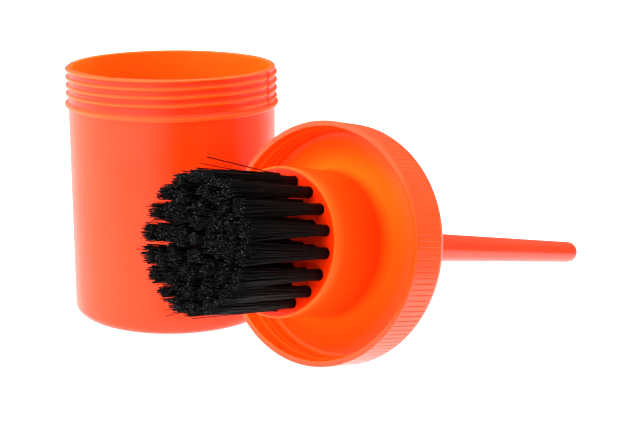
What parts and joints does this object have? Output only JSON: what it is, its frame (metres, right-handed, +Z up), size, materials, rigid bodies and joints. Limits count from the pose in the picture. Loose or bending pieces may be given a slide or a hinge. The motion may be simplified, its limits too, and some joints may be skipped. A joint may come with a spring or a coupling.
{
  "type": "screw-lid brush pot",
  "caption": "Round plastic pot with a threaded neck, opened, with its ribbed screw lid lying beside it; the lid carries a tufted brush on a hub inside and a tapered handle outside.",
  "frame": {"origin": "centre of the pot's flat base, on the table", "axes": "+Z up along the pot's axis; +Y along the level direction of the lid's handle; the lid's axis is in a plane parallel to YZ"},
  "size_m": [0.166, 0.2331, 0.0944],
  "materials": {
    "orange_plastic": "satin moulded polypropylene with a slightly translucent edge",
    "black_bristle": "black nylon filament with a faint sheen",
    "anchor_steel": "plain strip"
  },
  "bodies": {
    "pot": {"pot": "orange_plastic"},
    "brush_core": {"tuft_centre": "black_bristle", "centre_anchor": "anchor_steel"},
    "lid": {"lid": "orange_plastic", "handle": "orange_plastic", "tuft_anchors": "anchor_steel", "tuft_a01": "black_bristle", "tuft_a02": "black_bristle", "tuft_a03": "black_bristle", "tuft_a04": "black_bristle", "tuft_b01": "black_bristle", "tuft_b02": "black_bristle", "tuft_b03": "black_bristle", "tuft_b04": "black_bristle", "tuft_b05": "black_bristle", "tuft_b06": "black_bristle", "tuft_b07": "black_bristle", "tuft_b08": "black_bristle", "tuft_c01": "black_bristle", "tuft_c02": "black_bristle", "tuft_c03": "black_bristle", "tuft_c04": "black_bristle", "tuft_c05": "black_bristle", "tuft_c06": "black_bristle", "tuft_c07": "black_bristle", "tuft_c08": "black_bristle", "tuft_c09": "black_bristle", "tuft_c10": "black_bristle", "tuft_c11": "black_bristle", "tuft_c12": "black_bristle", "tuft_d01": "black_bristle", "tuft_d02": "black_bristle", "tuft_d03": "black_bristle", "tuft_d04": "black_bristle", "tuft_d05": "black_bristle", "tuft_d06": "black_bristle", "tuft_d07": "black_bristle", "tuft_d08": "black_bristle", "tuft_d09": "black_bristle", "tuft_d10": "black_bristle", "tuft_d11": "black_bristle", "tuft_d12": "black_bristle", "tuft_d13": "black_bristle", "tuft_d14": "black_bristle", "tuft_d15": "black_bristle", "tuft_d16": "black_bristle", "tuft_d17": "black_bristle", "tuft_d18": "black_bristle"}
  },
  "joints": [
    {"name": "lid_lift", "type": "slide", "parent": "pot", "child": "brush_core", "axis": [0, 0, 1], "range_m": [0, 0.12]},
    {"name": "lid_turn", "type": "hinge", "parent": "brush_core", "child": "lid", "pos_m": [0.0845, -0.0159, 0.04342], "axis": [0, 0.9741, -0.2263], "continuous": true}
  ]
}
